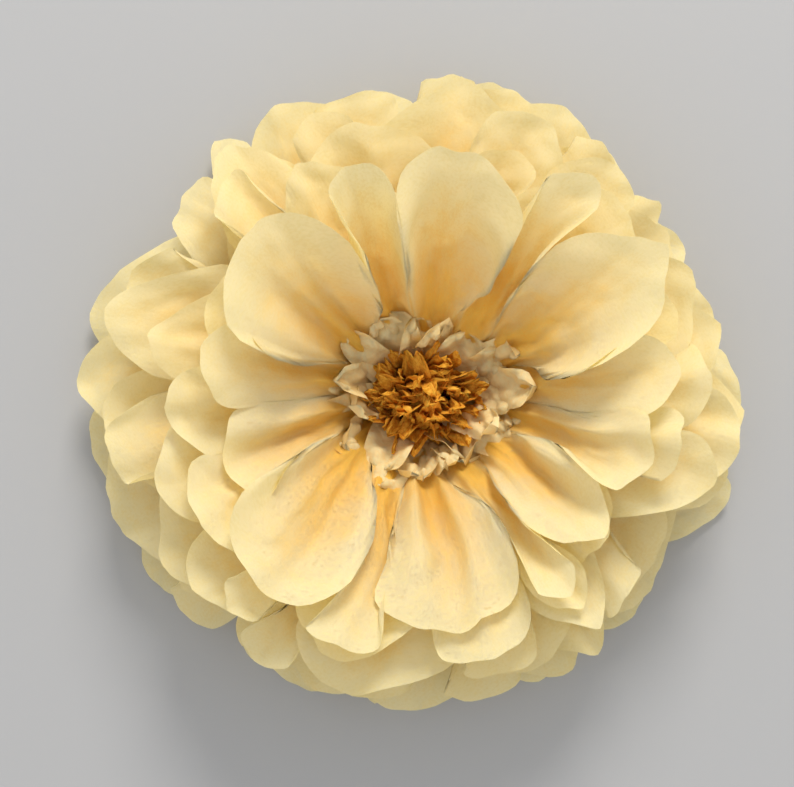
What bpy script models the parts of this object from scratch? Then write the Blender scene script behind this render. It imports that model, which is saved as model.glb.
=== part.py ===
"""Giant tissue paper flower, lying on its back. Metres, +Z up along the flower's axis.

Thirteen rectangular sheets lie on each other, pleated together and tied across their middle. Both
ends of each sheet are fanned out to half a circle and raised, one sheet inside the other: the pale
petal sheets outside, then the cream collar, then the gold centre. A sheet is a grid of points, across
its pleats and along them, from one end through the neck under the tie to the other end.

Where a point lies in the nest of sheets is its layer. Each sheet has a whole layer or more to itself,
and its pleats and ruffles are waves of less than that, so sheets that bend together never meet.
"""

import bpy
import numpy as np

# Paper and tie
SHEET_THICKNESS = 0.0004
SHEET_GAP = 0.0003
TIE_WIDTH = 0.004
TIE_THICKNESS = 0.0008
TIE_CLEARANCE = 0.0004
TIE_CORNER_RADIUS = 0.003
TIE_CORNER_STEPS = 4

# Well beyond the tie, the slit between a sheet's two ends closes to a narrow seam over this distance
SEAM_HALF_GAP = 0.0005
SEAM_STARTS_BEYOND_TIE = 0.034
SEAM_CLOSES_OVER = 0.020

# Petals level out to the seam over this share of a petal's width
SEAM_LEVELS_OVER = 0.4

# Neck of the innermost sheet, where it lies flat under the tie
NECK_HALF_LENGTH = 0.007

# Petal sheets: both ends are cut to a round petal on each pleat
PETAL_LENGTH = 0.250
PETALS_PER_END = 7
PETAL_NOTCH_SHARE = 0.24

# Heights in layers, each for the petal on which its wave is highest: the whole petal's lift, its
# middle over its sides, its tip's curl, and the folds between petals, which lie in turn high and low
PETAL_LIFT = 0.16
PETAL_CUP = 0.30
PETAL_CURL = 0.10
FOLD_HEIGHT = 0.22
FOLD_HEIGHT_SPREAD = 0.5
CUP_PIVOT = 0.6
PETAL_ROUNDNESS = 1.7
HIGHEST_FORM = 0.32
CURL_STARTS_AT = 0.5

# Radians by which each of these waves moves on from one petal to the next
LIFT_PACE = 2.4
CUP_PACE = 4.3
CURL_PACE = 3.1
FOLD_PACE = 5.3

# Collar and centre: shorter sheets with pointed leaves
COLLAR_LENGTH = 0.094
COLLAR_NOTCH = 0.022
COLLAR_PLEAT_HEIGHT = 1.0
CENTRE_LENGTH = 0.084
CENTRE_NOTCH = 0.014
CENTRE_PLEAT_HEIGHT = 0.6
LEAF_SHORTENING = 0.06

# Leaves differ by a wave that moves on by these radians from one to the next, and every wave by the
# second value from one layer to the next
LEAF_PACE = 2.4
PACE_PER_LAYER = 1.7

# Deep pleats outside the collar, which all petal sheets take part in: ridged waves round the flower
SHARED_PLEAT_SEED = 31
SHARED_PLEAT_WAVES = 5
SHARED_PLEAT_PACES = (5.0, 13.0)
SHARED_PLEAT_SWAY = 9.0
SHARED_PLEAT_HEIGHT = 0.28
SHARED_PLEAT_MEAN = 0.64
SHARED_PLEATS_START = 0.065
SHARED_PLEATS_RISE_OVER = 0.045
SHARED_PLEATS_FALL_OVER = 0.10
SHARED_PLEATS_FALL_BY = 0.75

# Hand fluffing pushes all sheets the same smooth way: waves of this size, which leave the middle of
# the centre's top in place and fade out at the tie
DRIFT_SEED = 0
DRIFT_WAVES = 4
DRIFT_SIZE = 0.20
DRIFT_HEIGHT = 0.009
DRIFT_STILL_POINT = (0.0, 0.0, 0.085)
DRIFT_STARTS_AT = 0.02
DRIFT_GROWS_OVER = 0.08

# Pleats stand a layer high near the neck, then open out as the petals turn to their own places
PLEATS_FULL_AT = 0.015
PLEATS_OPEN_FROM = 0.060
PLEATS_OPEN_BY = 0.160
OPEN_HEIGHT = 0.35
OPEN_FORM_HEIGHT = 0.30

# Slopes of the paper in degrees at some layers of the nest, at the neck and at a full petal's tip
NEST_LAYERS = (0.0, 6.0, 10.0, 14.6)
NECK_SLOPES = (10.0, 60.0, 74.0, 89.0)
TIP_SLOPES = (-8.5, 14.0, 40.0, 82.0)

# Shares of the paper's length, from the neck to the edge, at which a sheet has a row of points, and
# shares of a pleat's width, from fold to fold, at which it has a column of them
PETAL_ROWS = (0.0, 0.14, 0.4, 0.7, 1.0)
PETAL_COLUMNS = (0.0, 0.19, 0.5, 0.81)
LEAF_ROWS = (0.0, 0.4, 1.0)
COLLAR_LEAF_COLUMNS = (0.0, 0.25, 0.5, 0.75)
CENTRE_LEAF_COLUMNS = (0.0, 0.5)

# Layer of each sheet. For its petals, "turns" are degrees round from +X, over +Y on the upper end and
# over -Y on the lower end, and "reaches" are the tips' distances from the axis in percent of the length
PETAL_SHEETS = {
    "petal_sheet_1": {
        "layer": 0,
        "turns": ((3, 30, 53, 78, 102, 128, 160), (22, 46, 72, 98, 122, 148, 172)),
        "reaches": ((99, 98, 99, 101, 101, 103, 105), (98, 96, 96, 98, 100, 102, 104)),
    },
    "petal_sheet_2": {
        "layer": 1,
        "turns": ((18, 42, 66, 90, 114, 143, 177), (3, 40, 68, 92, 114, 138, 162)),
        "reaches": ((96, 97, 98, 100, 100, 100, 102), (95, 94, 94, 96, 98, 101, 103)),
    },
    "petal_sheet_3": {
        "layer": 2,
        "turns": ((0, 26, 56, 81, 104, 130, 158), (16, 37, 58, 81, 108, 141, 174)),
        "reaches": ((91, 90, 94, 94, 94, 95, 96), (89, 88, 90, 92, 93, 95, 95)),
    },
    "petal_sheet_4": {
        "layer": 3,
        "turns": ((14, 35, 57, 86, 108, 132, 164), (6, 42, 72, 98, 124, 146, 168)),
        "reaches": ((89, 87, 93, 93, 89, 95, 94), (88, 86, 84, 88, 91, 95, 95)),
    },
    "petal_sheet_5": {
        "layer": 4,
        "turns": ((4, 24, 49, 70, 100, 134, 166), (17, 55, 79, 104, 122, 141, 162)),
        "reaches": ((79, 86, 86, 85, 83, 86, 79), (84, 81, 82, 85, 90, 90, 84)),
    },
    "petal_sheet_6": {
        "layer": 5,
        "turns": ((3, 24, 46, 73, 119, 150, 184), (12, 40, 57, 83, 110, 135, 154)),
        "reaches": ((60, 74, 77, 73, 76, 70, 73), (72, 68, 72, 75, 75, 82, 75)),
    },
    "petal_sheet_7": {
        "layer": 6,
        "turns": ((10, 34, 56, 82, 109, 139, 167), (13, 35, 56, 87, 108, 134, 160)),
        "reaches": ((67, 78, 78, 72, 70, 73, 62), (64, 67, 67, 64, 71, 69, 56)),
        "curls": ((0.0, 0.1, 0.3, 0.7, 0.7, 0.2, 0.4), (0.0, 0.0, -0.1, -0.2, -0.2, -0.1, -0.1)),
    },
}
COLLAR_LAYERS = (7.0, 8.0)
CENTRE_LAYERS = (10.0, 11.2, 12.4, 13.6)
INNERMOST_LAYER = 14.6

# The centre sheets stand closer to the axis one by one, so each has fewer leaves at an end
CENTRE_LEAVES = (10, 9, 7, 5)

COLOURS = {
    "petal_tissue": (0.95, 0.86, 0.52, 1.0),
    "collar_tissue": (0.88, 0.80, 0.62, 1.0),
    "centre_tissue": (0.78, 0.42, 0.05, 1.0),
    "tie_paper": (0.62, 0.60, 0.52, 1.0),
}
PAPER_ROUGHNESS = 0.8

# Sides of Y on which a sheet's two ends lie
UPPER_AND_LOWER = (1, -1)

SHEET_STEP = SHEET_THICKNESS + SHEET_GAP
SLIT_HALF_WIDTH = TIE_WIDTH / 2 + TIE_CLEARANCE
NECK_HALF_WIDTH = SLIT_HALF_WIDTH + SHEET_THICKNESS
LOWEST_NECK_HALF_LENGTH = NECK_HALF_LENGTH + SHEET_STEP * INNERMOST_LAYER
TIE_HALF_LENGTH = LOWEST_NECK_HALF_LENGTH + TIE_CLEARANCE + TIE_CORNER_RADIUS
LOWEST_SHEET_HEIGHT = TIE_THICKNESS + SHEET_GAP + SHEET_THICKNESS / 2


def clear_scene():
    for item in list(bpy.data.objects):
        bpy.data.objects.remove(item, do_unlink=True)


def paper(name):
    """Matt paper of one colour."""
    material = bpy.data.materials.new(name)
    material.use_nodes = True
    shader = material.node_tree.nodes["Principled BSDF"]
    shader.inputs["Base Color"].default_value = COLOURS[name]
    shader.inputs["Roughness"].default_value = PAPER_ROUGHNESS
    shader.inputs["Metallic"].default_value = 0.0
    return material


def ease(share):
    """Goes from 0 to 1 as share goes from 0 to 1, slowly at both ends."""
    share = np.clip(share, 0.0, 1.0)
    return share * share * (3.0 - 2.0 * share)


def slopes(layer):
    """Slope of the paper in radians at the neck, and how much it bends for each metre outwards."""
    neck = np.radians(np.interp(layer, NEST_LAYERS, NECK_SLOPES))
    tip = np.radians(np.interp(layer, NEST_LAYERS, TIP_SLOPES))
    return neck, (neck - tip) / PETAL_LENGTH


def neck_half_length(layer):
    return NECK_HALF_LENGTH + SHEET_STEP * (INNERMOST_LAYER - layer)


def neck_half_width(layer):
    return NECK_HALF_WIDTH + SHEET_STEP * (INNERMOST_LAYER - layer)


def points(layer, along, turn, side):
    """Points at a layer, a distance along the paper from the neck and a turn from +X.

    The paper is an arc of a circle in side view. A slit along X parts its two ends for the tie, and
    closes to a seam further out.
    """
    slope, bend = slopes(layer)
    outer_slope = slope - bend * along
    outward = (np.sin(slope) - np.sin(outer_slope)) / bend
    upward = (np.cos(outer_slope) - np.cos(slope)) / bend
    half_length = neck_half_length(layer) + outward
    half_width = neck_half_width(layer) + outward
    closing = ease((half_length - TIE_HALF_LENGTH - SEAM_STARTS_BEYOND_TIE) / SEAM_CLOSES_OVER)
    slit = np.arcsin((SLIT_HALF_WIDTH + (SEAM_HALF_GAP - SLIT_HALF_WIDTH) * closing) / half_width)
    angle = slit + (np.pi - 2.0 * slit) * turn / np.pi
    x = half_length * np.cos(angle)
    y = side * half_width * np.sin(angle)
    z = LOWEST_SHEET_HEIGHT + SHEET_STEP * layer + upward
    return np.stack([x, y, z], axis=-1)


def length_to(layer, reach):
    """Length of paper that takes a tip to a distance from the axis."""
    slope, bend = slopes(layer)
    outward = reach - neck_half_length(layer)
    return (slope - np.arcsin(np.sin(slope) - bend * outward)) / bend


def places_across(panels, columns):
    """Places of the columns of points across an end, counted in pleats from its first edge."""
    return np.append(np.add.outer(np.arange(panels), columns).ravel(), panels)


def edge(place, lengths, notch, is_round):
    """Length of the paper at each place across an end: full at the tips, cut back by the notches."""
    last = len(lengths) - 1
    petal = np.floor(place).astype(int)
    across = 2.0 * (place - petal) - 1.0
    at_fold = (lengths[np.clip(petal - 1, 0, last)] + lengths[np.clip(petal, 0, last)]) / 2
    full = np.where(place == petal, at_fold, lengths[np.clip(petal, 0, last)])
    drop = 1.0 - np.sqrt(np.maximum(1.0 - across**2, 0.0)) if is_round else np.abs(across)
    return full - notch * drop


def variety(panels, layer, side, pace):
    """A value from -1 to 1 for each petal, fold or leaf of an end."""
    return np.sin(pace * np.arange(panels) + PACE_PER_LAYER * layer + side)


def pleats(place):
    """Height of the pleats at each place across: 0 on the folds and 1 in the middle of a panel."""
    across = 2.0 * (place - np.floor(place)) - 1.0
    return 1.0 - across**2


def shared_pleats(turn, along, side):
    """Height in layers of the deep pleats, the same for every petal sheet."""
    draw = np.random.default_rng(SHARED_PLEAT_SEED + side)
    total = np.zeros_like(turn)
    for _ in range(SHARED_PLEAT_WAVES):
        pace = draw.uniform(*SHARED_PLEAT_PACES)
        sway = SHARED_PLEAT_SWAY * draw.normal()
        total += SHARED_PLEAT_MEAN - np.abs(np.sin(turn * pace + sway * along + draw.uniform(0.0, np.pi)))
    rise = ease((along - SHARED_PLEATS_START) / SHARED_PLEATS_RISE_OVER)
    fall = ease((along - SHARED_PLEATS_START - SHARED_PLEATS_RISE_OVER) / SHARED_PLEATS_FALL_OVER)
    height = SHARED_PLEAT_HEIGHT * rise * (1.0 - SHARED_PLEATS_FALL_BY * fall)
    return height * total * np.sqrt(np.sin(np.clip(turn, 0.0, np.pi)))


def drift(grid):
    """Pushes points by sine waves of their place, less and less towards the tie."""
    draw = np.random.default_rng(DRIFT_SEED)
    total = np.zeros_like(grid)
    for _ in range(DRIFT_WAVES):
        heading = draw.normal(size=3)
        heading *= 2.0 * np.pi / (DRIFT_SIZE * np.linalg.norm(heading))
        wave = np.sin((grid - DRIFT_STILL_POINT) @ heading)
        total += wave[..., None] * draw.normal(size=3)
    distance = np.linalg.norm(grid, axis=-1, keepdims=True)
    return grid + ease((distance - DRIFT_STARTS_AT) / DRIFT_GROWS_OVER) * DRIFT_HEIGHT * total / 2.0


def grid_triangles(rows, columns):
    """Two triangles for each cell of a grid of points, all turned the same way."""
    triangles = []
    for row in range(rows - 1):
        for column in range(columns - 1):
            corner = row * columns + column
            below = corner + columns
            triangles.append((corner, below, corner + 1))
            triangles.append((corner + 1, below, below + 1))
    return triangles


def add_sheet(name, material, ends):
    """Joins the two ends' grids at the neck into one sheet, with the paper's thickness."""
    upper, lower = ends
    grid = drift(np.concatenate([upper[::-1], lower]))
    rows, columns = grid.shape[:2]
    mesh = bpy.data.meshes.new(name)
    mesh.from_pydata(grid.reshape(-1, 3).tolist(), [], grid_triangles(rows, columns))
    mesh.materials.append(material)
    sheet = bpy.data.objects.new(name, mesh)
    bpy.context.scene.collection.objects.link(sheet)
    wall = sheet.modifiers.new("paper", "SOLIDIFY")
    wall.thickness = SHEET_THICKNESS
    wall.offset = 0.0
    return sheet


def petal_form(place, layer, side):
    """Height in layers of the opened petals at each place across: panels between high and low folds."""
    last = PETALS_PER_END - 1
    petal = np.minimum(np.floor(place).astype(int), last)
    across = 2.0 * (place - petal) - 1.0
    bulge = 1.0 - np.abs(across) ** PETAL_ROUNDNESS
    lifts = PETAL_LIFT * variety(PETALS_PER_END, layer, side, LIFT_PACE)
    cups = PETAL_CUP * variety(PETALS_PER_END, layer, side, CUP_PACE)
    spread = FOLD_HEIGHT_SPREAD * variety(PETALS_PER_END + 1, layer, side, FOLD_PACE)
    folds = FOLD_HEIGHT * (0.8 + spread) * (-1.0) ** np.arange(PETALS_PER_END + 1)
    folds[[0, -1]] = 0.0
    fold = folds[petal + (across > 0.0)]
    form = OPEN_FORM_HEIGHT + fold * (1.0 - bulge) + lifts[petal] * bulge + cups[petal] * (bulge - CUP_PIVOT)
    near_seam = ease(np.minimum(place, PETALS_PER_END - place) / SEAM_LEVELS_OVER)
    return OPEN_HEIGHT + HIGHEST_FORM * np.tanh((form - OPEN_HEIGHT) / HIGHEST_FORM) * near_seam


def petal_turns(place, turns, others):
    """Turn of each place across once the pleats are open. A seam lies midway between both ends' petals."""
    seams = np.array([0.0, np.pi]) + (turns - others)[[0, -1]] / 2
    folds = (turns[1:] + turns[:-1]) / 2
    stops = np.concatenate([seams[:1], np.ravel(np.column_stack([turns[:-1], folds])), turns[-1:], seams[1:]])
    return np.interp(place, np.linspace(0.0, PETALS_PER_END, len(stops)), stops)


def petal_end(sheet, side):
    """One end of a petal sheet, with its petals turned to their own places."""
    layer = sheet["layer"]
    end = UPPER_AND_LOWER.index(side)
    place = places_across(PETALS_PER_END, PETAL_COLUMNS)
    petal = np.minimum(np.floor(place).astype(int), PETALS_PER_END - 1)
    turns, others = np.radians(sheet["turns"])[[end, 1 - end]]
    lifts = PETAL_LIFT * variety(PETALS_PER_END, layer, side, LIFT_PACE)
    curls = PETAL_CURL * variety(PETALS_PER_END, layer, side, CURL_PACE)
    if "curls" in sheet:
        curls = np.array(sheet["curls"][end])
    reaches = PETAL_LENGTH * np.array(sheet["reaches"][end]) / 100
    lengths = length_to(layer + OPEN_HEIGHT + lifts + curls / 2, reaches)
    along = np.outer(PETAL_ROWS, edge(place, lengths, PETAL_NOTCH_SHARE * lengths.mean(), True))
    opening = ease((along - PLEATS_OPEN_FROM) / (PLEATS_OPEN_BY - PLEATS_OPEN_FROM))
    curling = ease((np.array(PETAL_ROWS)[:, None] - CURL_STARTS_AT) / (1.0 - CURL_STARTS_AT))
    pleat = ease(along / PLEATS_FULL_AT) * pleats(place)
    height = pleat + (petal_form(place, layer, side) - pleat) * opening + curls[petal] * opening * curling
    even_turn = np.pi * place / PETALS_PER_END
    turn = even_turn + (petal_turns(place, turns, others) - even_turn) * opening
    return points(layer + height + shared_pleats(turn, along, side), along, turn, side)


def leaf_end(layer, leaves, columns, length, notch, pleat_height, side):
    """One end of a short sheet, with evenly spaced pointed leaves of slightly different lengths."""
    place = places_across(leaves, columns)
    lengths = length * (1.0 - LEAF_SHORTENING * variety(leaves, layer, side, LEAF_PACE) ** 2)
    along = np.outer(LEAF_ROWS, edge(place, lengths, notch, False))
    turn = np.pi * place / leaves
    height = pleat_height * ease(along / PLEATS_FULL_AT)
    return points(layer + height * pleats(place), along, turn, side)


def add_petal_sheets():
    material = paper("petal_tissue")
    for name, sheet in PETAL_SHEETS.items():
        add_sheet(name, material, [petal_end(sheet, side) for side in UPPER_AND_LOWER])


def add_collar_sheets():
    material = paper("collar_tissue")
    shape = (PETALS_PER_END, COLLAR_LEAF_COLUMNS, COLLAR_LENGTH, COLLAR_NOTCH, COLLAR_PLEAT_HEIGHT)
    for number, layer in enumerate(COLLAR_LAYERS, start=1):
        ends = [leaf_end(layer, *shape, side) for side in UPPER_AND_LOWER]
        add_sheet(f"collar_sheet_{number}", material, ends)


def add_centre_sheets():
    material = paper("centre_tissue")
    shape = (CENTRE_LEAF_COLUMNS, CENTRE_LENGTH, CENTRE_NOTCH, CENTRE_PLEAT_HEIGHT)
    for number, (layer, leaves) in enumerate(zip(CENTRE_LAYERS, CENTRE_LEAVES), start=1):
        ends = [leaf_end(layer, leaves, *shape, side) for side in UPPER_AND_LOWER]
        add_sheet(f"centre_sheet_{number}", material, ends)


def rounded_rectangle(half_length, bottom, top, radius):
    """Outline in XZ of a rectangle with round corners, from the corner at +X and the top onwards."""
    outline = []
    upper, lower = top - radius, bottom + radius
    for side, centre_z, start in ((1, upper, 0), (-1, upper, 90), (-1, lower, 180), (1, lower, 270)):
        for angle in np.radians(np.linspace(start, start + 90, TIE_CORNER_STEPS + 1)):
            x = side * (half_length - radius) + radius * np.cos(angle)
            outline.append((x, centre_z + radius * np.sin(angle)))
    return np.array(outline)


def add_tie():
    """Flat paper tie: a closed band under the lowest sheet, through the slits and over the top sheet."""
    inner_top = LOWEST_SHEET_HEIGHT + SHEET_STEP * CENTRE_LAYERS[-1] + SHEET_THICKNESS / 2 + SHEET_GAP
    outer = rounded_rectangle(TIE_HALF_LENGTH, 0.0, inner_top + TIE_THICKNESS, TIE_CORNER_RADIUS)
    inner = rounded_rectangle(
        TIE_HALF_LENGTH - TIE_THICKNESS, TIE_THICKNESS, inner_top, TIE_CORNER_RADIUS - TIE_THICKNESS
    )
    half_width = TIE_WIDTH / 2
    edges = [(outer, -half_width), (outer, half_width), (inner, half_width), (inner, -half_width)]
    vertices = [(x, y, z) for outline, y in edges for x, z in outline]
    count = len(outer)
    faces = []
    for edge_number in range(len(edges)):
        start = edge_number * count
        following = (edge_number + 1) % len(edges) * count
        for step in range(count):
            after = (step + 1) % count
            faces.append((start + step, following + step, following + after, start + after))
    mesh = bpy.data.meshes.new("neck_tie")
    mesh.from_pydata(vertices, [], faces)
    mesh.materials.append(paper("tie_paper"))
    bpy.context.scene.collection.objects.link(bpy.data.objects.new("neck_tie", mesh))


clear_scene()
add_petal_sheets()
add_collar_sheets()
add_centre_sheets()
add_tie()
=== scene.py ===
import bpy
import numpy as np
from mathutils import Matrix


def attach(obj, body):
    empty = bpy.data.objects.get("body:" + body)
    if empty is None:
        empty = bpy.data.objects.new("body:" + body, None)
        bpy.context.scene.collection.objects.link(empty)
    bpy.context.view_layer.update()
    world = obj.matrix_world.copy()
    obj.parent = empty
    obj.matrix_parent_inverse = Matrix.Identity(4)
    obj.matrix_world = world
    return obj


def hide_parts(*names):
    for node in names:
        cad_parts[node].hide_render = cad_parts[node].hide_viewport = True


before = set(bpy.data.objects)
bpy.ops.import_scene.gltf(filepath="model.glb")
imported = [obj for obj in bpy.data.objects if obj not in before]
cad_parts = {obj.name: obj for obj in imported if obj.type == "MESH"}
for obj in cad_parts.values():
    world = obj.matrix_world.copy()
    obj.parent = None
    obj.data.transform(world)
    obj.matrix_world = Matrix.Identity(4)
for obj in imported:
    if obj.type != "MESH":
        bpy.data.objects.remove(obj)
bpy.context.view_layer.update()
print("solids loaded")


# values that all sheets share, in metres, layers and degrees; the solids follow the same nest

nest = {
    "paperStep": 0.0007,
    "innermostLayer": 14.6,
    "neckHalfLength": 0.007,
    "neckHalfWidth": 0.0028,
    "lowestHeight": 0.0013,
    "petalLength": 0.250,
    "layers": (0.0, 6.0, 10.0, 14.6),
    "neckSlopes": (10.0, 60.0, 74.0, 89.0),
    "tipSlopes": (-8.5, 14.0, 40.0, 82.0),
    "tieReach": 0.021,
    "slitHalfWidth": 0.0024,
    "slitClosesOver": 0.012,
}
drifts = {
    "waves": 4,
    "wide": {"size": 0.20, "height": 0.009, "seed": 0},
    "fine": {"size": 0.09, "height": 0.0012, "seed": 6},
    "stillHeight": 0.085,
    "startsAt": 0.02,
    "growsOver": 0.08,
}
pleats = {
    "seed": 31,
    "waves": 5,
    "paces": (5.0, 13.0),
    "sway": 9.0,
    "height": 0.45,
    "start": 0.065,
    "riseOver": 0.045,
    "fallOver": 0.10,
    "fallBy": 0.75,
}
ridgeMean = 0.64  # the mean of |sin|, so that ridges neither raise nor sink a sheet


def ease(share):
    # 3x² - 2x³ between 0 and 1
    share = np.clip(share, 0.0, 1.0)
    return share * share * (3.0 - 2.0 * share)


def nestSlopes(layer):
    # the slope at the neck, and how much it falls for each metre of paper, both read from the layer
    neck = np.radians(np.interp(layer, nest["layers"], nest["neckSlopes"]))
    tip = np.radians(np.interp(layer, nest["layers"], nest["tipSlopes"]))
    return neck, (neck - tip) / nest["petalLength"]


def nestRoom(layer):
    # half length and half width of the neck: a paper step more for each layer further out
    step = nest["paperStep"] * (nest["innermostLayer"] - layer)
    return nest["neckHalfLength"] + step, nest["neckHalfWidth"] + step


def nestPlace(layer, outward, upward, turn, side):
    # an ellipse round the neck, grown by the outward distance; a slit along X leaves room for the tie
    halfLength, halfWidth = nestRoom(layer)
    halfLength, halfWidth = halfLength + outward, halfWidth + outward
    closing = ease((halfLength - nest["tieReach"]) / nest["slitClosesOver"])
    slit = np.arcsin(np.clip(nest["slitHalfWidth"] * (1.0 - closing) / halfWidth, 0.0, 1.0))
    angle = slit + (np.pi - 2.0 * slit) * turn / np.pi
    x = halfLength * np.cos(angle)
    y = side * halfWidth * np.sin(angle)
    z = nest["lowestHeight"] + nest["paperStep"] * layer + upward
    return np.stack([x, y, z], axis=-1)


def nestPoint(layer, along, turn, side):
    # side view is an arc: outward = (sin a0 - sin a)/bend and upward = (cos a - cos a0)/bend
    slope, bend = nestSlopes(layer)
    outer = slope - bend * along
    outward = (np.sin(slope) - np.sin(outer)) / bend
    upward = (np.cos(outer) - np.cos(slope)) / bend
    return nestPlace(layer, outward, upward, turn, side)


def lengthTo(layer, reach):
    # the arc's length that brings the tip out to a plan radius
    slope, bend = nestSlopes(layer)
    return (slope - np.arcsin(np.sin(slope) - bend * (reach - nestRoom(layer)[0]))) / bend


def drift(points, size, height, seed):
    # sine waves of the place push every sheet the same smooth way, but not the middle of the centre's
    # top, and less and less towards the tie
    rng = np.random.default_rng(seed)
    total = np.zeros_like(points)
    for _ in range(drifts["waves"]):
        heading = rng.normal(size=3)
        heading *= 2.0 * np.pi / (size * np.linalg.norm(heading))
        wave = np.sin((points - np.array([0.0, 0.0, drifts["stillHeight"]])) @ heading)
        total += wave[..., None] * rng.normal(size=3)
    away = ease((np.linalg.norm(points, axis=-1, keepdims=True) - drifts["startsAt"]) / drifts["growsOver"])
    return points + away * height * total / np.sqrt(drifts["waves"])


def sharedPleats(turn, along, side):
    # deep pleats outside the collar that all petal sheets take part in: the sum of 0.64 - |sin| of the
    # turn at drawn paces, which rises outside the collar and falls again towards the tips
    rng = np.random.default_rng(pleats["seed"] + side)
    total = np.zeros_like(turn)
    for _ in range(pleats["waves"]):
        phase = turn * rng.uniform(*pleats["paces"]) + pleats["sway"] * along * rng.normal()
        total += ridgeMean - np.abs(np.sin(phase + rng.uniform(0.0, np.pi)))
    rise = ease((along - pleats["start"]) / pleats["riseOver"])
    fullAt = pleats["start"] + pleats["riseOver"]
    fall = pleats["fallBy"] * ease((along - fullAt) / pleats["fallOver"])
    return pleats["height"] * rise * (1.0 - fall) * total


# meshes

def gridFaces(rows, columns, keep=None):
    # one quad for each cell, whose corners run round the same way
    corner = np.arange((rows - 1) * columns).reshape(rows - 1, columns)[:, :-1]
    quads = np.stack([corner, corner + columns, corner + columns + 1, corner + 1], axis=-1)
    return quads[keep] if keep is not None else quads.reshape(-1, 4)


def addPiece(name, points, faces, maps, thickness):
    # foreach_set puts the arrays into a mesh; Solidify gives the paper its two faces
    mesh = bpy.data.meshes.new(name)
    mesh.vertices.add(points.size // 3)
    mesh.vertices.foreach_set("co", points.astype(np.float32).ravel())
    mesh.loops.add(faces.size)
    mesh.loops.foreach_set("vertex_index", faces.astype(np.int32).ravel())
    mesh.polygons.add(len(faces))
    mesh.polygons.foreach_set("loop_start", np.arange(0, faces.size, 4, dtype=np.int32))
    mesh.polygons.foreach_set("loop_total", np.full(len(faces), 4, dtype=np.int32))
    for title, uv in maps.items():
        layer = mesh.uv_layers.new(name=title)
        layer.data.foreach_set("uv", uv.reshape(-1, 2)[faces.ravel()].astype(np.float32).ravel())
    mesh.update(calc_edges=True)
    mesh.shade_smooth()
    # the paper's rim is sharp, so that the thin wall isn't shaded like a thick one
    edges = np.empty(len(mesh.loops), dtype=np.int32)
    mesh.loops.foreach_get("edge_index", edges)
    mesh.edges.foreach_set("use_edge_sharp", np.bincount(edges, minlength=len(mesh.edges)) == 1)
    piece = bpy.data.objects.new(name, mesh)
    bpy.context.scene.collection.objects.link(piece)
    wall = piece.modifiers.new("paper", "SOLIDIFY")
    wall.thickness = thickness
    wall.offset = 0.0
    return piece


def dressSheet(name, points, faces, flat, shape, thickness, material):
    # the paper takes the place of its solid; "paper" is metres on the flat sheet, "petal" is across
    # the petal and the share of its length
    maps = {"paper": flat, "petal": shape}
    piece = addPiece(name.replace("_sheet_", "_paper_"), points, faces, maps, thickness)
    piece.data.materials.append(material)
    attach(piece, "root")
    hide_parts(name)
    print(name, "made,", len(faces), "quads")


# shader sums as plain Python expressions

class Sum:
    def __init__(self, tree, socket):
        self.tree, self.socket = tree, socket

    def math(self, operation, *values):
        return addNode(self.tree, "ShaderNodeMath", {"operation": operation}, dict(enumerate(values)))

    def __add__(self, other):
        return self.math("ADD", self, other)

    def __radd__(self, other):
        return self.math("ADD", other, self)

    def __sub__(self, other):
        return self.math("SUBTRACT", self, other)

    def __rsub__(self, other):
        return self.math("SUBTRACT", other, self)

    def __mul__(self, other):
        return self.math("MULTIPLY", self, other)

    def __rmul__(self, other):
        return self.math("MULTIPLY", other, self)

    def clamped(self):
        return addNode(self.tree, "ShaderNodeClamp", {}, {"Value": self})


def addNode(tree, kind, settings, inputs, output=0):
    # settings are set first, then each socket gets its value or its link
    node = tree.nodes.new(kind)
    for name, value in settings.items():
        if name == "stops":
            elements = node.color_ramp.elements
            elements[0].position, elements[0].color = value[0]
            elements[1].position, elements[1].color = value[1]
        else:
            setattr(node, name, value)
    for name, value in inputs.items():
        if isinstance(value, Sum):
            tree.links.new(value.socket, node.inputs[name])
        else:
            node.inputs[name].default_value = value
    return Sum(tree, node.outputs[output] if node.outputs else None)


def newTree(name):
    # an empty material and its node tree
    material = bpy.data.materials.new(name)
    material.use_nodes = True
    material.node_tree.nodes.clear()
    return material, material.node_tree


# what all tissue shares: mottled fibres, and a painted warm shade towards the root, standing in for shade and
# for light bounced among the sheets, whose edge wanders with the clouds

paperGrain = {
    "cloudScale": 70.0,
    "cloudDetail": 3.0,
    "fibreScale": 480.0,
    "fibreDetail": 2.0,
    "cloudShare": 0.35,
    "thickAt": 0.38,
    "thinAt": 0.60,
    "deepAcross": 0.22,
    "deepWander": 0.25,
    "creaseWidth": 0.12,
    "mottleRelief": 0.9,
    "relief": 0.0006,
    "roughness": 0.72,
    "specular": 0.22,
}


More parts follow.
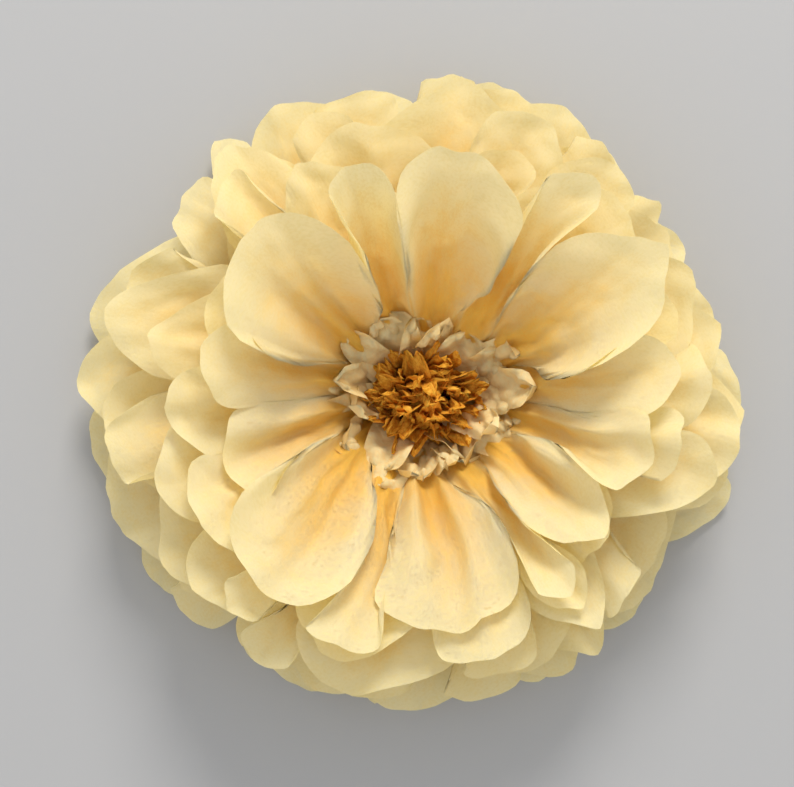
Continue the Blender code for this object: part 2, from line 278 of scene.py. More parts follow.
def tissue(name, look):
    # mottle = clouds and fibres; colour runs from thick to thin paper with it and, towards the petal's root,
    # to a painted warm shade that stands in for the shade and the bounced light there; crumple lines and
    # mottle make the bump; light passes through
    grain = paperGrain
    material, tree = newTree(name)
    sheet = addNode(tree, "ShaderNodeUVMap", {"uv_map": "paper"}, {})
    petal = addNode(tree, "ShaderNodeUVMap", {"uv_map": "petal"}, {})
    across = addNode(tree, "ShaderNodeSeparateXYZ", {}, {0: petal}, "X")
    share = addNode(tree, "ShaderNodeSeparateXYZ", {}, {0: petal}, "Y")
    flat = {"noise_dimensions": "2D"}
    cloud = addNode(tree, "ShaderNodeTexNoise", flat, {
        "Vector": sheet, "Scale": grain["cloudScale"], "Detail": grain["cloudDetail"]})
    fibre = addNode(tree, "ShaderNodeTexNoise", flat, {
        "Vector": sheet, "Scale": grain["fibreScale"], "Detail": grain["fibreDetail"]})
    stretched = addNode(tree, "ShaderNodeVectorMath", {"operation": "MULTIPLY"}, {
        0: sheet, 1: look["crumple"]})
    cells = {"feature": "DISTANCE_TO_EDGE", "voronoi_dimensions": "2D"}
    crumple = addNode(tree, "ShaderNodeTexVoronoi", cells, {"Vector": stretched, "Scale": 1.0})
    mottle = (cloud * grain["cloudShare"] + fibre * (1.0 - grain["cloudShare"])).clamped()
    paper = addNode(tree, "ShaderNodeValToRGB", {"stops": (
        (grain["thickAt"], (*look["thick"], 1.0)), (grain["thinAt"], (*look["thin"], 1.0)))}, {"Fac": mottle})
    # painted shade: strongest at the root along the petal's middle, fading along the length and sooner
    # towards the sides, its edge wandering with the clouds
    outer = share + grain["deepAcross"] * across * across + grain["deepWander"] * (cloud - 0.5)
    deepening = addNode(tree, "ShaderNodeMapRange", {"interpolation_type": "SMOOTHSTEP"}, {
        "Value": outer, "From Min": look["deepFrom"], "From Max": look["deepTo"],
        "To Min": look["depth"], "To Max": 0.0})
    # a Mix node's colours come in at sockets 6 and 7 and go out at 2
    colour = addNode(tree, "ShaderNodeMix", {"data_type": "RGBA"}, {
        0: deepening, 6: paper, 7: (*look["deep"], 1.0)}, 2)
    crease = addNode(tree, "ShaderNodeMapRange", {}, {"Value": crumple, "From Max": grain["creaseWidth"]})
    height = crease * look["creaseDepth"] + mottle * grain["mottleRelief"]
    bump = addNode(tree, "ShaderNodeBump", {}, {
        "Height": height, "Strength": look["bump"], "Distance": grain["relief"]})
    front = addNode(tree, "ShaderNodeBsdfPrincipled", {}, {
        "Base Color": colour, "Roughness": grain["roughness"], "Specular IOR Level": grain["specular"],
        "Normal": bump})
    through = addNode(tree, "ShaderNodeBsdfTranslucent", {}, {"Color": (*look["through"], 1.0)})
    passing = (look["share"] + look["mottle"] * (mottle - 0.5)).clamped()
    shader = addNode(tree, "ShaderNodeMixShader", {}, {0: passing, 1: front, 2: through})
    addNode(tree, "ShaderNodeOutputMaterial", {}, {"Surface": shader})
    return material


# petal sheets: for each petal of both ends its turn from +X in degrees and its tip's reach in percent
# of the petal length. The top sheet also says how far its tips curl up, in layers, how pointed they
# are, and how high and how far over its folds stand.

petalSheets = {
    "thickness": 0.00008,
    "rows": 72,
    "columnsPerPetal": 24,
    "look": {
        "thick": (0.92, 0.84, 0.51), "thin": (1.0, 0.97, 0.77), "through": (1.0, 0.91, 0.57),
        # the petals' roots are painted a warm orange shade, standing in for shade and for light bounced among
        # the sheets near the neck
        "deep": (1.0, 0.62, 0.11), "depth": 1.0, "deepFrom": 0.40, "deepTo": 1.05,
        "share": 0.57, "bump": 0.45, "creaseDepth": 0.25, "mottle": 0.9, "crumple": (75.0, 24.0, 1.0)},
    "floorGap": 0.0006,
    "flatStep": 0.1,
    # outline
    "halfWidth": 0.052,
    "widths": (0.88, 1.10),
    "notch": 0.27,
    "roundness": 2.4,
    "foldSharpness": 6,
    "mostPointed": 0.9,
    "pointPower": 1.15,
    "pointShare": 0.75,
    "foldShorter": 0.016,
    "ripple": 0.0009,
    "ripplePitches": (1.5, 6.0),
    "rippleWaves": 5,
    "flareOver": 0.05,
    # from the pleated neck to the open petals
    "pleatsFullAt": 0.015,
    "openFrom": 0.060,
    "openBy": 0.160,
    "middleHeight": 0.35,
    "formHeight": 0.30,
    "seamLevelsOver": 0.4,
    # forms, in layers
    "highest": 0.36,
    "lift": 0.16,
    "cup": 0.32,
    "hollow": 0.10,
    "crease": 1.5,
    "pointedCrease": 1.0,
    "cupPivot": 0.6,
    "curl": 0.10,
    "curlFrom": 0.5,
    "curlReach": 0.5,
    "foldHeight": 0.22,
    "foldMean": 0.8,
    "foldSpread": 0.5,
    "crossing": 0.14,
    "leastCrossing": 0.4,
    "edgeLift": 0.45,
    "edgeLifts": (-0.2, 1.0),
    "edgeSharpness": 2.2,
    "edgeFrom": 0.35,
    "edgeOver": 0.4,
    "rimWave": 0.11,
    "rimPitches": (0.5, 2.6),
    "rimWaves": 5,
    "rimFrom": 0.55,
    "paces": {"lift": 2.4, "cup": 4.3, "curl": 3.1, "fold": 5.3, "lean": 3.7},
    "layerPace": 1.7,
    # folds that lean over their neighbours
    "lean": 0.34,
    "ridgeHalfWidth": 0.27,
    "ridgeSharpness": 1.4,
    "ridgesFrom": 0.085,
    "ridgesGrowOver": 0.055,
    "sway": 1.6,
    "swayPitches": (20.0, 40.0),
    # small creases
    "gathers": {"count": 9, "pitches": (0.8, 3.4), "reaches": (0.05, 0.22), "sway": 9.0, "height": 0.16,
                "growOver": 0.03},
    "crumples": {"count": 6, "size": 0.030, "sizes": (0.7, 1.6), "height": 0.0007, "growOver": 0.06,
                 "bend": 0.25, "bendPaces": (5.0, 4.0)},
    "sheets": {
        "petal_sheet_1": {
            "layer": 0, "seed": 11,
            "turns": ((3, 30, 53, 78, 102, 128, 160), (22, 46, 72, 98, 122, 148, 172)),
            "reaches": ((99, 98, 99, 101, 101, 103, 105), (98, 96, 96, 98, 100, 102, 104))},
        "petal_sheet_2": {
            "layer": 1, "seed": 12,
            "turns": ((18, 42, 66, 90, 114, 143, 177), (3, 40, 68, 92, 114, 138, 162)),
            "reaches": ((96, 97, 98, 100, 100, 100, 102), (95, 94, 94, 96, 98, 101, 103))},
        "petal_sheet_3": {
            "layer": 2, "seed": 13,
            "turns": ((0, 26, 56, 81, 104, 130, 158), (16, 37, 58, 81, 108, 141, 174)),
            "reaches": ((91, 90, 94, 94, 94, 95, 96), (89, 88, 90, 92, 93, 95, 95))},
        "petal_sheet_4": {
            "layer": 3, "seed": 14,
            "turns": ((14, 35, 57, 86, 108, 132, 164), (6, 42, 72, 98, 124, 146, 168)),
            "reaches": ((89, 87, 93, 93, 89, 95, 94), (88, 86, 84, 88, 91, 95, 95))},
        "petal_sheet_5": {
            "layer": 4, "seed": 15,
            "turns": ((4, 24, 49, 70, 100, 134, 166), (17, 55, 79, 104, 122, 141, 162)),
            "reaches": ((79, 86, 86, 85, 83, 86, 79), (84, 81, 82, 85, 90, 90, 84))},
        "petal_sheet_6": {
            "layer": 5, "seed": 16,
            "turns": ((3, 24, 46, 73, 119, 150, 184), (12, 40, 57, 83, 110, 135, 154)),
            "reaches": ((60, 74, 77, 73, 76, 70, 73), (72, 68, 72, 75, 75, 82, 75))},
        "petal_sheet_7": {
            "layer": 6, "seed": 17, "notch": 0.22, "highest": 0.8, "lift": 0.25, "hollow": 0.25,
            "crossing": 0.30, "edgeLift": 0.9, "halfWidth": 0.055,
            "turns": ((10, 34, 56, 82, 109, 139, 167), (13, 35, 56, 87, 108, 134, 160)),
            "reaches": ((67, 78, 78, 72, 70, 73, 62), (64, 67, 67, 64, 71, 69, 56)),
            "curls": ((0.0, 0.1, 0.4, 0.9, 0.9, 0.2, 0.4), (0.0, 0.0, -0.1, -0.2, -0.2, -0.1, -0.1)),
            "points": ((0.2, 0.8, 0.7, 0.1, 0.1, 0.0, 0.5), (0.1, 0.9, 0.6, 0.0, 0.0, 0.1, 0.0)),
            "ridges": ((0.0, 1.1, 0.5, 0.8, 0.3, 1.5, 1.1, 0.0), (0.0, 1.1, 1.5, 0.4, 0.6, 0.8, 1.1, 0.0)),
            "leans": ((0.0, -0.35, 0.25, -0.35, 0.2, -0.32, 0.38, 0.0),
                      (0.0, -0.3, 0.42, -0.3, 0.32, -0.35, 0.32, 0.0))},
    },
}


def habit(count, own, side, kind):
    # a value from -1 to 1 for each petal or fold: the sine of its number, its layer and its side
    return np.sin(own["paces"][kind] * np.arange(count) + own["layerPace"] * own["layer"] + side)


def atFolds(values, place):
    # from fold to fold, straight through the values at the petals' middles
    return np.interp(place, np.linspace(0.0, (len(values) - 1) / 2, len(values)), values)


def between(ends, middles):
    # the middles with the means of neighbours between them and the two ends outside
    means = (middles[1:] + middles[:-1]) / 2
    return np.concatenate([ends[:1], np.stack([middles[:-1], means], axis=1).ravel(), middles[-1:], ends[1:]])


def sines(place, rng, count, pitches):
    # a few sines of the place with drawn pitches and starts, over the root of their number
    waves = [np.sin(2.0 * np.pi * (rng.uniform(*pitches) * place + rng.uniform())) for _ in range(count)]
    return np.sum(waves, axis=0) / np.sqrt(count)


def gathers(place, along, rng, small):
    # sharp gathers that run out from the neck: the sum of 0.64 - |sin| of the place, each of which
    # fades as e to the power of -distance/reach
    total = np.zeros_like(along)
    for _ in range(small["count"]):
        pitch = rng.uniform(*small["pitches"])
        phase = np.pi * (pitch * place + rng.uniform(0.0, 2.0)) + small["sway"] * along * rng.normal()
        total += (ridgeMean - np.abs(np.sin(phase))) * np.exp(-along / rng.uniform(*small["reaches"]))
    return small["height"] * total * ease(along / small["growOver"])


def crumples(flat, rng, small):
    # soft facets: the sum of 0.64 - |sin| in a few directions of the flat sheet, bent by slower sines
    size = small["size"]
    slow = [np.sin(flat[..., 1 - axis] * small["bendPaces"][axis] / size) for axis in (0, 1)]
    bent = flat + small["bend"] * size * np.stack(slow, axis=-1)
    total = np.zeros(flat.shape[:-1])
    for _ in range(small["count"]):
        heading = rng.normal(size=2)
        heading *= np.pi / (size * rng.uniform(*small["sizes"]) * np.linalg.norm(heading))
        total += ridgeMean - np.abs(np.sin(bent @ heading + rng.uniform(0.0, np.pi)))
    return small["height"] * ease(np.abs(flat[..., 1]) / small["growOver"]) * total


def pushOut(points, amount):
    # along the normal of the grid, from the differences of its rows and columns
    normal = np.cross(np.gradient(points, axis=0), np.gradient(points, axis=1))
    normal /= np.maximum(np.linalg.norm(normal, axis=-1, keepdims=True), 1e-12)
    return points + normal * amount[..., None]


def petalTips(own, grid, lifts, curls, points, rng):
    # the paper's length at each column: the tip's length, shorter at the folds, less the round or
    # pointed end, whose drop is 1 - root of (1 - |across| to the roundness), and a ripple
    across, petal, count = np.abs(grid["across"]), grid["petal"], grid["count"]
    reaches = np.array(own["reaches"][grid["end"]]) / 100 * nest["petalLength"]
    lengths = lengthTo(own["layer"] + own["middleHeight"] + lifts + own["curlReach"] * curls, reaches)
    foldLengths = atFolds(between(lengths[[0, -1]], lengths), np.arange(count + 1))
    foldLengths = foldLengths - rng.uniform(0.0, own["foldShorter"], count + 1)
    shorter = foldLengths[grid["nextFold"]] - lengths[petal]
    full = lengths[petal] + shorter * across ** own["foldSharpness"]
    roundDrop = 1.0 - np.sqrt(np.clip(1.0 - across ** own["roundness"], 0.0, 1.0))
    pointDrop = own["pointShare"] * across ** own["pointPower"] + (1.0 - own["pointShare"]) * roundDrop
    notch = own["notch"] * lengths.mean()
    edge = full - notch * (roundDrop + (pointDrop - roundDrop) * points[petal])
    edge = edge + own["ripple"] * sines(grid["place"], rng, own["rippleWaves"], own["ripplePitches"])
    return reaches, full - notch, edge


def petalBends(own, grid, along, share, opening, flare, forms, rng):
    # height above the middle, in layers: panels between high and low folds, lifted, cupped and held
    # under a limit by tanh; then curled tips, raised and crossing edges, gathers and a waved rim
    across, petal, nextFold = grid["across"], grid["petal"], grid["nextFold"]
    sharpness = own["crease"] + (own["pointedCrease"] - own["crease"]) * forms["points"][petal]
    bulge = 1.0 - np.abs(across) ** sharpness
    form = own["formHeight"] - own["middleHeight"] + forms["folds"][nextFold] * (1.0 - bulge)
    form = form + forms["lifts"][petal] * bulge + forms["cups"][petal] * (bulge - own["cupPivot"])
    form = own["highest"] * np.tanh(form / own["highest"])
    raised = own["edgeLift"] * rng.uniform(*own["edgeLifts"], grid["count"] + 1)[nextFold]
    raised = raised * np.abs(across) ** own["edgeSharpness"]
    curled = forms["curls"][petal] * ease((share - own["curlFrom"]) / (1.0 - own["curlFrom"]))
    bent = (form + curled) * opening + raised * ease((share - own["edgeFrom"]) / own["edgeOver"])
    bent = bent + forms["crossings"][nextFold] * across * flare
    bent = bent + gathers(grid["place"], along, rng, own["gathers"])
    rim = ease((share - own["rimFrom"]) / (1.0 - own["rimFrom"]))
    return bent + own["rimWave"] * rim * sines(grid["place"], rng, own["rimWaves"], own["rimPitches"])


def petalTurns(own, grid, along, opening, flare, reaches, rng):
    # turn about the axis: even at the neck, then between the petals' own turns, and where they are
    # cut apart each petal has its real width
    petal, end = grid["petal"], grid["end"]
    turns, others = np.array(own["turns"], float)[[end, 1 - end]]
    seams = np.array([0.0, 180.0]) + (turns - others)[[0, -1]] / 2
    plain = atFolds(between(seams, turns), grid["place"])
    halfTurns = np.degrees(own["halfWidth"] * rng.uniform(*own["widths"], grid["count"]) / reaches)
    ownTurn = turns[petal] + grid["across"] * halfTurns[petal]
    sway = np.sin(along * rng.uniform(*own["swayPitches"]) + rng.uniform(0.0, 6.0))
    spread = plain + (ownTurn - plain) * flare + own["sway"] * sway * grid["nearSeam"]
    return np.pi * grid["place"] / grid["count"] * (1.0 - opening) + np.radians(spread) * opening


def petalGrid(own, side):
    # each petal is a panel between two folds: its number, the place across it from -1 to 1, and the
    # nearer fold, for every column
    end = 0 if side > 0 else 1
    count = len(own["turns"][end])
    place = np.linspace(0.0, count, count * own["columnsPerPetal"] + 1)
    petal = np.minimum(np.floor(place), count - 1).astype(int)
    across = 2.0 * (place - petal) - 1.0
    nearSeam = ease(np.minimum(place, count - place) / own["seamLevelsOver"])
    return {"end": end, "count": count, "place": place, "petal": petal, "across": across,
            "nextFold": petal + (across > 0.0), "nearSeam": nearSeam}


def petalForms(own, side, end, count, rng):
    # lifts, cups, curls and fold heights follow the petals' habits; at the seams both ends are alike
    signs = (-1.0) ** np.arange(count + 1)
    foldHabit = own["foldMean"] + own["foldSpread"] * habit(count + 1, own, side, "fold")
    if "curls" in own:
        curls, points = np.array([own["curls"][end], own["points"][end]])
    else:
        curls = own["curl"] * habit(count, own, side, "curl")
        points = rng.uniform(0.0, own["mostPointed"], count) ** 2
    crossings = own["crossing"] * rng.choice([-1.0, 1.0], count + 1)
    crossings = crossings * rng.uniform(own["leastCrossing"], 1.0, count + 1)
    crossings[0], crossings[-1] = -side * own["crossing"], side * own["crossing"]
    return {"curls": curls, "points": points, "crossings": crossings,
            "folds": own["foldHeight"] * foldHabit * signs,
            "lifts": own["lift"] * habit(count, own, side, "lift"),
            "cups": own["cup"] * habit(count, own, side, "cup") - own["hollow"]}


def petalEnd(own, side, rng):
    # one end of a sheet: pleated at the neck, open further out and level at the seams where both ends
    # meet; each fold has a ridge, 1 - distance from the fold / half width, that leans over
    grid = petalGrid(own, side)
    count, place, across = grid["count"], grid["place"], grid["across"]
    forms = petalForms(own, side, grid["end"], count, rng)
    reaches, notchFrom, edge = petalTips(own, grid, forms["lifts"], forms["curls"], forms["points"], rng)
    share = np.linspace(0.0, 1.0, own["rows"])[:, None]
    along = share * edge
    opening = ease((along - own["openFrom"]) / (own["openBy"] - own["openFrom"]))
    flare = ease((along - notchFrom) / own["flareOver"])
    bent = petalBends(own, grid, along, share, opening, flare, forms, rng)

    fold = np.rint(place).astype(int)
    if "ridges" in own:
        ridges, leans = np.array([own["ridges"][grid["end"]], own["leans"][grid["end"]]])
    else:
        ridges, leans = np.zeros(count + 1), own["lean"] * habit(count + 1, own, side, "lean")
    leans = leans * (np.arange(count + 1) % count > 0)
    ridge = np.clip(1.0 - np.abs(place - fold) / own["ridgeHalfWidth"], 0.0, 1.0)
    rise = ease((along - own["ridgesFrom"]) / own["ridgesGrowOver"])
    bent = bent + ridges[fold] * ridge ** own["ridgeSharpness"] * rise

    turn = petalTurns(own, grid, along, opening, flare, reaches, rng)
    turn = turn + leans[fold] * ridge * rise * np.pi / count
    bent = bent + sharedPleats(turn, along, side)
    neckPleat = (1.0 - across**2) * ease(along / own["pleatsFullAt"])
    height = neckPleat + (own["middleHeight"] - neckPleat) * opening + bent * grid["nearSeam"]
    every = np.ones_like(along)
    flat = np.stack([place * own["flatStep"] * every, along * side], axis=-1)
    shape = np.stack([across * every, share * every], axis=-1)
    return nestPoint(own["layer"] + height, along, turn, side), flat, shape


def addPetalSheets():
    values = petalSheets
    material = tissue("petalTissue", values["look"])
    for name, sheet in values["sheets"].items():
        rng = np.random.default_rng(sheet["seed"])
        upper, lower = [petalEnd({**values, **sheet}, side, rng) for side in (1, -1)]
        points, flat, shape = [np.concatenate([one[::-1], other]) for one, other in zip(upper, lower)]
        points = pushOut(points, crumples(flat, rng, values["crumples"]))
        points = drift(drift(points, **drifts["wide"]), **drifts["fine"])
        points[..., 2] = np.maximum(points[..., 2], values["floorGap"])  # the lowest petals lie on the floor
        faces = gridFaces(*points.shape[:2])
        dressSheet(name, points, faces, flat, shape, values["thickness"], material)


# collar and centre: sheets cut into leaves above their pleated root. Lengths are in metres, bend,
# wobble and twist in degrees, layers in the nest's layers; the rest are shares.

leafSheets = {
    "thickness": 0.00012,
    "rows": 30,
    "columnsPerLeaf": 11,
    "collarLook": {
        "thick": (0.98, 0.77, 0.37), "thin": (1.0, 0.90, 0.54), "through": (1.0, 0.81, 0.36),
        # the collar leaves' roots are painted a warm brown-gold shade, standing in for shade and for light
        # bounced from the coloured papers
        "deep": (0.95, 0.62, 0.24), "depth": 0.8, "deepFrom": 0.50, "deepTo": 0.92,
        "share": 0.40, "bump": 0.7, "creaseDepth": 0.8, "mottle": 0.3, "crumple": (90.0, 60.0, 1.0)},
    "centreLook": {
        "thick": (0.70, 0.31, 0.015), "thin": (1.0, 0.62, 0.08), "through": (1.0, 0.56, 0.06),
        # the gold leaves' roots are painted a dark red-brown shadow
        "deep": (0.50, 0.15, 0.01), "depth": 0.8, "deepFrom": 0.60, "deepTo": 0.92,
        "share": 0.36, "bump": 0.7, "creaseDepth": 0.8, "mottle": 0.3, "crumple": (90.0, 60.0, 1.0)},
    "flatStep": 0.02,
    "flatShare": 0.45,
    "pleatRise": 0.10,
    "lengths": (0.86, 1.04),
    "layerStep": 0.45,
    "layerSpread": 0.1,
    "bendPower": 1.2,
    "wobble": 25.0,
    "rootLean": 0.4,
    "twistPace": 1.4,
    "rootTwist": 30.0,
    "foldPace": 3.0,
    "rootWidth": 0.96,
    "rootReach": 0.030,
    "widths": (0.7, 1.1),
    "widthPace": 4.0,
    "leastWidth": 0.0003,
    "crumplePaces": ((4.0, 22.0), (7.0, -31.0)),
    "crumpleStarts": (0.0, 6.3),
    "rootCrumple": 0.3,
    "crumpleGrowsOver": 0.03,
    "sheets": {
        "collar_sheet_1": {
            "layer": 7.0, "leaves": 7, "length": 0.110, "cut": 0.052, "seed": 21, "bend": (-50, 12),
            "rounder": 0.06, "lifted": 1.0, "spread": 0.3, "twist": 35, "halfWidth": 0.0195, "fold": 0.5,
            "roundness": 7.0, "ruffle": 0.0022},
        "collar_sheet_2": {
            "layer": 8.0, "leaves": 8, "length": 0.104, "cut": 0.054, "seed": 22, "bend": (-50, 25),
            "rounder": 0.06, "lifted": 1.0, "spread": 0.4, "twist": 45, "halfWidth": 0.0180, "fold": 0.6,
            "roundness": 7.0, "ruffle": 0.0024},
        "centre_sheet_1": {
            "layer": 10.0, "leaves": 13, "length": 0.087, "cut": 0.060, "seed": 23, "bend": (-75, 30),
            "rounder": 0.16, "lifted": 0.0, "spread": 0.4, "twist": 60, "halfWidth": 0.0080, "fold": 0.7,
            "roundness": 3.2, "ruffle": 0.0013},
        "centre_sheet_2": {
            "layer": 11.2, "leaves": 13, "length": 0.089, "cut": 0.060, "seed": 24, "bend": (-85, 60),
            "rounder": 0.16, "lifted": 0.0, "spread": 0.6, "twist": 75, "halfWidth": 0.0080, "fold": 0.7,
            "roundness": 3.2, "ruffle": 0.0013},
        "centre_sheet_3": {
            "layer": 12.4, "leaves": 12, "length": 0.091, "cut": 0.062, "seed": 25, "bend": (-85, 90),
            "rounder": 0.16, "lifted": 0.0, "spread": 0.8, "twist": 80, "halfWidth": 0.0082, "fold": 0.7,
            "roundness": 3.2, "ruffle": 0.0013},
        "centre_sheet_4": {
            "layer": 13.6, "leaves": 9, "length": 0.091, "cut": 0.062, "seed": 26, "bend": (-80, 100),
            "rounder": 0.16, "lifted": 0.0, "spread": 1.0, "twist": 80, "halfWidth": 0.0095, "fold": 0.7,
            "roundness": 3.2, "ruffle": 0.0013},
    },
}


def leafEnd(own, side, rng):
    # each leaf is a ruled strip: a middle line that leaves the neck, bends and leans over, with the
    # paper across it turned about that line and folded along it
    leaves, rows = own["leaves"], own["rows"]
    each = (1, leaves, 1)
    share = np.linspace(0.0, 1.0, rows)[:, None, None]
    number = np.arange(leaves)[None, :, None]
    across = np.linspace(-1.0, 1.0, own["columnsPerLeaf"])[None, None, :]
    length = own["length"] * rng.uniform(*own["lengths"], each)
    paper = share * length
    free = np.clip((paper - own["cut"]) / (length - own["cut"]), 0.0, 1.0)

    # the middle line: the slope falls as the nest's does, bends beyond the cut and wobbles, and its
    # cosine and sine are summed along the paper
    spread = own["layerSpread"]
    layer = own["layer"] + own["layerStep"] * (number % 2) + rng.uniform(-spread, spread, each)
    slope, bend = nestSlopes(layer)
    bends = np.radians(rng.uniform(*own["bend"], each))
    wobble = np.radians(rng.uniform(-own["wobble"], own["wobble"], each))
    angle = slope - bend * paper + bends * free ** own["bendPower"] + wobble * np.sin(2.0 * np.pi * share)
    middle, stride, start = (angle[1:] + angle[:-1]) / 2, length / (rows - 1), np.zeros(each)
    outward = np.concatenate([start, np.cumsum(np.cos(middle) * stride, axis=0)])
    upward = np.concatenate([start, np.cumsum(np.sin(middle) * stride, axis=0)])
    pitch = np.pi / leaves
    lean = rng.uniform(-1.0, 1.0, each) * own["spread"] * pitch
    turn = pitch * (number + 0.5) + lean * ease(share) * (own["rootLean"] + free)
    outward = outward * (1.0 + own["rounder"] * np.sin(turn) ** 2)
    pleated = np.maximum(sharedPleats(turn, paper, side), 0.0)
    upward = upward + own["lifted"] * own["pleatRise"] * paper * pleated
    line = nestPlace(layer, outward, upward, turn, side)[:, :, 0][:, :, None, :]

    # the width: from its share of the neck's pleats to the leaf's own, round at the tip
    radius = np.minimum(nestRoom(layer)[0] + outward, own["rootReach"])
    rootWidth = own["rootWidth"] * radius * pitch / 2.0
    leafWidth = own["halfWidth"] * rng.uniform(*own["widths"], each)
    leafWidth = leafWidth * np.sqrt(np.clip(1.0 - free ** own["roundness"], 0.0, 1.0))
    widening = ease(free * own["widthPace"])
    halfWidth = rootWidth * (1.0 - widening) + np.maximum(leafWidth, own["leastWidth"]) * widening

    # the paper across: turned by the twist, folded by |across|, and crumpled by two crossing sines
    twist = np.radians(rng.uniform(-1.0, 1.0, each) * own["twist"]) * ease(free * own["twistPace"])
    rootTwist = np.radians(rng.uniform(-own["rootTwist"], own["rootTwist"], each))
    twist = twist + rootTwist * ease(paper / own["cut"])
    fold = own["fold"] * rng.uniform(-1.0, 1.0, each) * ease(free * own["foldPace"])
    starts = rng.uniform(*own["crumpleStarts"], (2, *each))
    waves = [np.sin(wide * across + long * share + begin)
             for (wide, long), begin in zip(own["crumplePaces"], starts)]
    crumple = own["ruffle"] * (waves[0] + waves[1]) * (own["rootCrumple"] + free)
    crumple = crumple * ease(paper / own["crumpleGrowsOver"])
    sway, depth = across * halfWidth, fold * np.abs(across) * halfWidth
    sideways = sway * np.cos(twist) - depth * np.sin(twist)
    forwards = sway * np.sin(twist) + depth * np.cos(twist) + crumple
    cosTurn, sinTurn = np.cos(turn), np.sin(turn)
    beside = np.stack([-sinTurn, side * cosTurn, np.zeros_like(turn)], axis=-1)
    facing = np.stack([-np.sin(angle) * cosTurn, -side * np.sin(angle) * sinTurn, np.cos(angle)], axis=-1)
    points = line + sideways[..., None] * beside + forwards[..., None] * facing

    every = np.ones(points.shape[:3])
    flatPlace = (number + across * own["flatShare"]) * own["flatStep"]
    flat = np.stack([flatPlace * every, paper * side * every], axis=-1).reshape(rows, -1, 2)
    shape = np.stack([across * every, share * every], axis=-1).reshape(rows, -1, 2)
    return points.reshape(rows, -1, 3), flat, shape, free[:, 0, 0]


def addLeafSheets():
    values = leafSheets
    collar = tissue("collarTissue", values["collarLook"])
    centre = tissue("centreTissue", values["centreLook"])
    for name, sheet in values["sheets"].items():
        rng = np.random.default_rng(sheet["seed"])
        upper, lower = [leafEnd({**values, **sheet}, side, rng) for side in (1, -1)]
        points, flat, shape, free = [np.concatenate([one[::-1], other]) for one, other in zip(upper, lower)]
        points = drift(points, **drifts["wide"])
        rows, columns = points.shape[:2]
        # above the cut there is no paper between two leaves
        isCut = (free[1:] > 0.0) & (free[:-1] > 0.0)
        betweenLeaves = (np.arange(columns - 1) + 1) % values["columnsPerLeaf"] == 0
        faces = gridFaces(rows, columns, ~(isCut[:, None] & betweenLeaves[None, :]))
        isCollar = name.startswith("collar")
        dressSheet(name, points, faces, flat, shape, values["thickness"], collar if isCollar else centre)


tiePaper = {
    "grainScale": 900.0,
    "grainDetail": 4.0,
    "dark": (0.50, 0.48, 0.40, 1.0),
    "darkAt": 0.3,
    "light": (0.68, 0.66, 0.58, 1.0),
    "lightAt": 0.7,
    "roughness": 0.8,
    "bump": 0.4,
    "relief": 0.0002,
}


def tieFinish():
    # uncoated paper band: fine grain in the colour and in the bump, on the solid itself
    band = tiePaper
    material, tree = newTree("tiePaper")
    place = addNode(tree, "ShaderNodeTexCoord", {}, {}, "Object")
    grain = addNode(tree, "ShaderNodeTexNoise", {}, {
        "Vector": place, "Scale": band["grainScale"], "Detail": band["grainDetail"]})
    colour = addNode(tree, "ShaderNodeValToRGB", {"stops": (
        (band["darkAt"], band["dark"]), (band["lightAt"], band["light"]))}, {"Fac": grain})
    bump = addNode(tree, "ShaderNodeBump", {}, {
        "Height": grain, "Strength": band["bump"], "Distance": band["relief"]})
    shader = addNode(tree, "ShaderNodeBsdfPrincipled", {}, {
        "Base Color": colour, "Roughness": band["roughness"], "Normal": bump})
    addNode(tree, "ShaderNodeOutputMaterial", {}, {"Surface": shader})
    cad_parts["neck_tie"].material_slots[0].material = material
    print("neck_tie finished")


# floor, light and camera

view = {
    "width": 794,
    "height": 787,
    "metresPerPixel": 0.00079,
    "distance": 1.20,
    "flowerPixel": (425, 398),
    "sensor": 36.0,
}
studio = {
    "floorSize": 6.0,
    "floorColour": (0.425, 0.425, 0.43, 1.0),
    "floorRoughness": 0.9,
    "fill": 0.80,
    "fillColour": (0.98, 0.99, 1.0, 1.0),
    "keyPlace": (0.5, 3.2, 2.3),
    "keySize": 1.5,
    "keyPower": 128.0,
    "keyColour": (1.0, 0.97, 0.92),
}


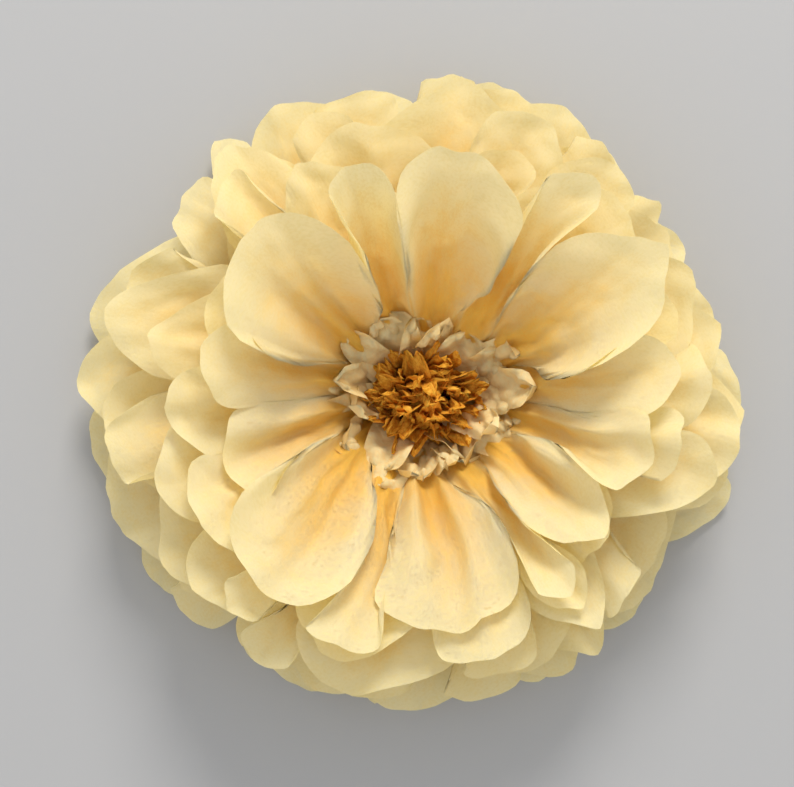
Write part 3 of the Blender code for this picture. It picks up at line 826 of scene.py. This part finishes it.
def addCamera():
    # straight down, as high as the photo's perspective needs, with the flower at its pixel
    camera = bpy.data.cameras.new("camera")
    camera.sensor_width = view["sensor"]
    camera.lens = view["sensor"] * view["distance"] / (view["width"] * view["metresPerPixel"])
    seat = bpy.data.objects.new("camera", camera)
    x = (view["width"] / 2 - view["flowerPixel"][0]) * view["metresPerPixel"]
    y = (view["flowerPixel"][1] - view["height"] / 2) * view["metresPerPixel"]
    seat.location = (x, y, view["distance"])
    bpy.context.scene.collection.objects.link(seat)
    bpy.context.scene.camera = seat


def addFloor():
    # one square that the flower lies on
    half = studio["floorSize"] / 2
    corners = [(-half, -half, 0.0), (half, -half, 0.0), (half, half, 0.0), (-half, half, 0.0)]
    mesh = bpy.data.meshes.new("floor")
    mesh.from_pydata(corners, [], [(0, 1, 2, 3)])
    floor = bpy.data.objects.new("floor", mesh)
    bpy.context.scene.collection.objects.link(floor)
    material, tree = newTree("floorPaint")
    shader = addNode(tree, "ShaderNodeBsdfPrincipled", {}, {
        "Base Color": studio["floorColour"], "Roughness": studio["floorRoughness"]})
    addNode(tree, "ShaderNodeOutputMaterial", {}, {"Surface": shader})
    mesh.materials.append(material)


def addLight():
    # a wide lamp from the top of the picture, aimed at the flower, and an even room
    lamp = bpy.data.lights.new("key", "AREA")
    lamp.shape = "DISK"
    lamp.size = studio["keySize"]
    lamp.energy = studio["keyPower"]
    lamp.color = studio["keyColour"]
    key = bpy.data.objects.new("key", lamp)
    x, y, z = studio["keyPlace"]
    key.location = (x, y, z)
    key.rotation_euler = (np.arctan2(np.hypot(x, y), z), 0.0, np.arctan2(y, x) + np.pi / 2)
    bpy.context.scene.collection.objects.link(key)
    world = bpy.data.worlds.new("room")
    world.use_nodes = True
    world.node_tree.nodes.clear()
    sky = addNode(world.node_tree, "ShaderNodeBackground", {}, {
        "Color": studio["fillColour"], "Strength": studio["fill"]})
    addNode(world.node_tree, "ShaderNodeOutputWorld", {}, {"Surface": sky})
    bpy.context.scene.world = world


addPetalSheets()
addLeafSheets()
tieFinish()
addFloor()
addLight()
addCamera()
bpy.context.scene.view_settings.view_transform = "Standard"
print("floor, light and camera set")
